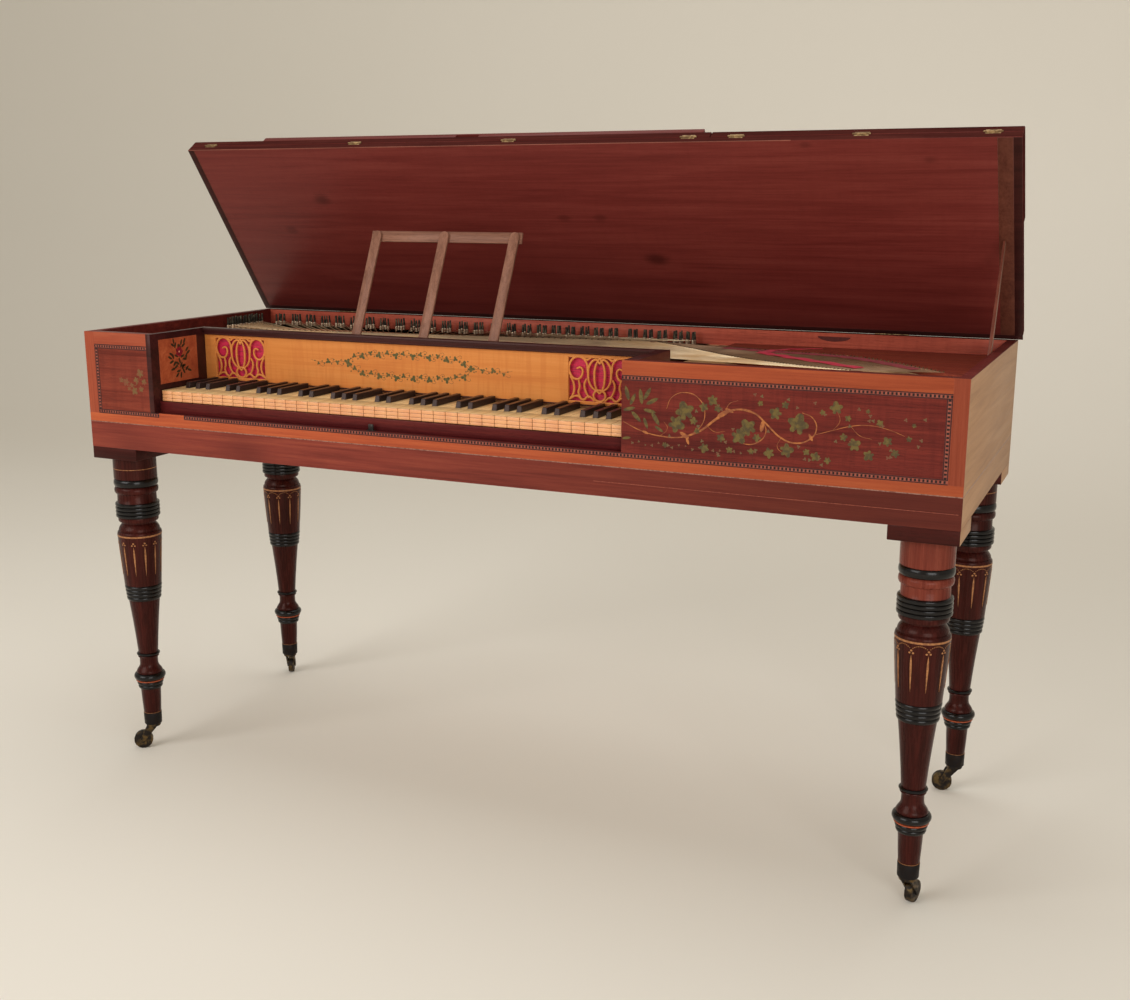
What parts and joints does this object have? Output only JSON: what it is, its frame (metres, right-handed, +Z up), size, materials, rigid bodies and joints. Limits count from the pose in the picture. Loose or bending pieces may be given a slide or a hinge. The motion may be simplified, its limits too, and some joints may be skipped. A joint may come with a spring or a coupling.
{
  "type": "square piano",
  "caption": "Square piano on turned legs with casters: shallow rectangular case, keyboard set to the left, folding lid on a prop stick, music desk, strings and action inside.",
  "frame": {"origin": "on the floor under the middle of the instrument's overall box", "axes": "+X towards the treble end (the player's right), +Y away from the player, towards the back, +Z up"},
  "size_m": [1.626, 0.574, 1.2032],
  "materials": {
    "softwood": "bare planed",
    "faded_mahogany": "worn polish, sun faded",
    "lid_mahogany": "satin polish",
    "panel_mahogany": "french polish",
    "crossbanding": "french polish",
    "dark_wood": "ebonised, satin",
    "satinwood": "french polish",
    "leg_mahogany": "gloss polish",
    "desk_wood": "waxed",
    "ivory_key": "ivory plates on limewood, satin",
    "ebony_key": "ebony, satin",
    "silk": "woven",
    "string_steel": "drawn wire",
    "hinge_brass": "tarnished",
    "caster_brass": "tarnished",
    "caster_iron": "worn"
  },
  "bodies": {
    "case": {"bottom_board": "softwood", "case_left_end": "faded_mahogany", "case_right_end": "faded_mahogany", "case_back": "lid_mahogany", "front_panel_left": "panel_mahogany", "front_panel_right": "panel_mahogany", "front_rail": "crossbanding", "key_slip": "panel_mahogany", "keywell_cheek_left": "dark_wood", "keywell_cheek_right": "dark_wood", "nameboard": "satinwood", "nameboard_cap": "dark_wood", "fret_silk": "silk", "keys_bass": "ivory_key", "keys_treble": "ivory_key", "key_frame": "softwood", "hammer_rail": "panel_mahogany", "wrest_plank": "panel_mahogany", "soundboard": "softwood", "bridge": "panel_mahogany", "strings": "string_steel", "leg_block_front_left": "dark_wood", "leg_block_front_right": "dark_wood", "leg_block_back_right": "dark_wood", "leg_block_back_left": "dark_wood", "leg_front_left": "leg_mahogany", "leg_front_right": "leg_mahogany", "leg_back_right": "leg_mahogany", "leg_back_left": "leg_mahogany", "lid_hinge_left": "hinge_brass", "lid_hinge_right": "hinge_brass"},
    "lid": {"lid_main": "lid_mahogany"},
    "flap_left": {"lid_flap_left": "lid_mahogany"},
    "flap_right": {"lid_flap_right": "lid_mahogany"},
    "fall": {"keyboard_fall": "lid_mahogany"},
    "desk_upright_first": {"desk_upright_1": "desk_wood"},
    "desk_upright_second": {"desk_upright_2": "desk_wood"},
    "desk_upright_third": {"desk_upright_3": "desk_wood"},
    "desk_rail": {"desk_rail": "desk_wood"},
    "prop_stick": {"prop_stick": "panel_mahogany"},
    "key_c": {"key_c": "ivory_key"},
    "key_c_sharp": {"key_c_sharp": "ebony_key"},
    "key_d": {"key_d": "ivory_key"},
    "key_d_sharp": {"key_d_sharp": "ebony_key"},
    "key_e": {"key_e": "ivory_key"},
    "key_f": {"key_f": "ivory_key"},
    "key_f_sharp": {"key_f_sharp": "ebony_key"},
    "key_g": {"key_g": "ivory_key"},
    "key_g_sharp": {"key_g_sharp": "ebony_key"},
    "key_a": {"key_a": "ivory_key"},
    "key_a_sharp": {"key_a_sharp": "ebony_key"},
    "key_b": {"key_b": "ivory_key"},
    "fork_front_left": {"caster_fork_front_left": "caster_brass"},
    "fork_front_right": {"caster_fork_front_right": "caster_brass"},
    "fork_back_right": {"caster_fork_back_right": "caster_brass"},
    "fork_back_left": {"caster_fork_back_left": "caster_brass"},
    "wheel_front_left": {"caster_wheel_front_left": "caster_iron"},
    "wheel_front_right": {"caster_wheel_front_right": "caster_iron"},
    "wheel_back_right": {"caster_wheel_back_right": "caster_iron"},
    "wheel_back_left": {"caster_wheel_back_left": "caster_iron"}
  },
  "joints": [
    {"name": "lid_hinge", "type": "hinge", "parent": "case", "child": "lid", "pos_m": [0, 0.283, 0.851], "axis": [-1, 0, 0], "range_deg": [-55.4, 0]},
    {"name": "flap_left_hinge", "type": "hinge", "parent": "lid", "child": "flap_left", "pos_m": [-0.2565, 0.05908, 1.18915], "axis": [-1, 0, 0], "range_deg": [-180, 0]},
    {"name": "flap_right_hinge", "type": "hinge", "parent": "lid", "child": "flap_right", "pos_m": [0.5565, 0.05908, 1.18915], "axis": [-1, 0, 0], "range_deg": [-180, 0]},
    {"name": "fall_hinge", "type": "hinge", "parent": "flap_left", "child": "fall", "pos_m": [-0.183, 0.15636, 1.07525], "axis": [1, 0, 0], "range_deg": [-90, 0]},
    {"name": "desk_pivot_first", "type": "hinge", "parent": "case", "child": "desk_upright_first", "pos_m": [-0.3255, -0.119, 0.799], "axis": [0, 0.9511, -0.309], "range_deg": [0, 77]},
    {"name": "desk_pivot_second", "type": "hinge", "parent": "case", "child": "desk_upright_second", "pos_m": [-0.183, -0.119, 0.799], "axis": [0, 0.9511, -0.309], "range_deg": [0, 77]},
    {"name": "desk_pivot_third", "type": "hinge", "parent": "case", "child": "desk_upright_third", "pos_m": [-0.0405, -0.119, 0.799], "axis": [0, 0.9511, -0.309], "range_deg": [0, 77]},
    {"name": "desk_rail_pivot", "type": "hinge", "parent": "desk_upright_first", "child": "desk_rail", "pos_m": [-0.3073, -0.04753, 1.01896], "axis": [0, 0.9511, -0.309], "range_deg": [-77, 0]},
    {"name": "prop_stick_pivot", "type": "hinge", "parent": "case", "child": "prop_stick", "pos_m": [0.7845, 0.058, 0.831], "axis": [1, 0, 0], "range_deg": [0, 120]},
    {"name": "key_c_pivot", "type": "hinge", "parent": "case", "child": "key_c", "pos_m": [-0.2176, -0.0205, 0.7185], "axis": [1, 0, 0], "range_deg": [0, 1.8], "stiffness_Nm_per_rad": 1, "springref_deg": -9.74},
    {"name": "key_c_sharp_pivot", "type": "hinge", "parent": "case", "child": "key_c_sharp", "pos_m": [-0.2062, -0.0205, 0.7185], "axis": [1, 0, 0], "range_deg": [0, 1.8], "stiffness_Nm_per_rad": 1, "springref_deg": -9.74},
    {"name": "key_d_pivot", "type": "hinge", "parent": "case", "child": "key_d", "pos_m": [-0.1946, -0.0205, 0.7185], "axis": [1, 0, 0], "range_deg": [0, 1.8], "stiffness_Nm_per_rad": 1, "springref_deg": -9.74},
    {"name": "key_d_sharp_pivot", "type": "hinge", "parent": "case", "child": "key_d_sharp", "pos_m": [-0.183, -0.0205, 0.7185], "axis": [1, 0, 0], "range_deg": [0, 1.8], "stiffness_Nm_per_rad": 1, "springref_deg": -9.74},
    {"name": "key_e_pivot", "type": "hinge", "parent": "case", "child": "key_e", "pos_m": [-0.1714, -0.0205, 0.7185], "axis": [1, 0, 0], "range_deg": [0, 1.8], "stiffness_Nm_per_rad": 1, "springref_deg": -9.74},
    {"name": "key_f_pivot", "type": "hinge", "parent": "case", "child": "key_f", "pos_m": [-0.1483, -0.0205, 0.7185], "axis": [1, 0, 0], "range_deg": [0, 1.8], "stiffness_Nm_per_rad": 1, "springref_deg": -9.74},
    {"name": "key_f_sharp_pivot", "type": "hinge", "parent": "case", "child": "key_f_sharp", "pos_m": [-0.1367, -0.0205, 0.7185], "axis": [1, 0, 0], "range_deg": [0, 1.8], "stiffness_Nm_per_rad": 1, "springref_deg": -9.74},
    {"name": "key_g_pivot", "type": "hinge", "parent": "case", "child": "key_g", "pos_m": [-0.1251, -0.0205, 0.7185], "axis": [1, 0, 0], "range_deg": [0, 1.8], "stiffness_Nm_per_rad": 1, "springref_deg": -9.74},
    {"name": "key_g_sharp_pivot", "type": "hinge", "parent": "case", "child": "key_g_sharp", "pos_m": [-0.1136, -0.0205, 0.7185], "axis": [1, 0, 0], "range_deg": [0, 1.8], "stiffness_Nm_per_rad": 1, "springref_deg": -9.74},
    {"name": "key_a_pivot", "type": "hinge", "parent": "case", "child": "key_a", "pos_m": [-0.102, -0.0205, 0.7185], "axis": [1, 0, 0], "range_deg": [0, 1.8], "stiffness_Nm_per_rad": 1, "springref_deg": -9.74},
    {"name": "key_a_sharp_pivot", "type": "hinge", "parent": "case", "child": "key_a_sharp", "pos_m": [-0.0904, -0.0205, 0.7185], "axis": [1, 0, 0], "range_deg": [0, 1.8], "stiffness_Nm_per_rad": 1, "springref_deg": -9.74},
    {"name": "key_b_pivot", "type": "hinge", "parent": "case", "child": "key_b", "pos_m": [-0.0788, -0.0205, 0.7185], "axis": [1, 0, 0], "range_deg": [0, 1.8], "stiffness_Nm_per_rad": 1, "springref_deg": -9.74},
    {"name": "swivel_front_left", "type": "hinge", "parent": "case", "child": "fork_front_left", "pos_m": [-0.753, -0.235, 0.05], "axis": [0, 0, 1], "continuous": true},
    {"name": "swivel_front_right", "type": "hinge", "parent": "case", "child": "fork_front_right", "pos_m": [0.753, -0.235, 0.05], "axis": [0, 0, 1], "continuous": true},
    {"name": "swivel_back_right", "type": "hinge", "parent": "case", "child": "fork_back_right", "pos_m": [0.753, 0.227, 0.05], "axis": [0, 0, 1], "continuous": true},
    {"name": "swivel_back_left", "type": "hinge", "parent": "case", "child": "fork_back_left", "pos_m": [-0.753, 0.227, 0.05], "axis": [0, 0, 1], "continuous": true},
    {"name": "roll_front_left", "type": "hinge", "parent": "fork_front_left", "child": "wheel_front_left", "pos_m": [-0.7702, -0.24704, 0.018], "axis": [-0.5736, 0.8192, 0], "continuous": true},
    {"name": "roll_front_right", "type": "hinge", "parent": "fork_front_right", "child": "wheel_front_right", "pos_m": [0.75843, -0.21472, 0.018], "axis": [0.9659, -0.2588, 0], "continuous": true},
    {"name": "roll_back_right", "type": "hinge", "parent": "fork_back_right", "child": "wheel_back_right", "pos_m": [0.73232, 0.22335, 0.018], "axis": [-0.1736, 0.9848, 0], "continuous": true},
    {"name": "roll_back_left", "type": "hinge", "parent": "fork_back_left", "child": "wheel_back_left", "pos_m": [-0.7635, 0.24519, 0.018], "axis": [0.866, 0.5, 0], "continuous": true}
  ],
  "couplings": [
    {"joint": "desk_pivot_first", "follows": "lid_hinge", "ratio": -1.3899},
    {"joint": "desk_pivot_second", "follows": "lid_hinge", "ratio": -1.3899},
    {"joint": "desk_pivot_third", "follows": "lid_hinge", "ratio": -1.3899},
    {"joint": "desk_rail_pivot", "follows": "lid_hinge", "ratio": 1.3899},
    {"joint": "prop_stick_pivot", "follows": "lid_hinge", "ratio": -2.1661}
  ]
}
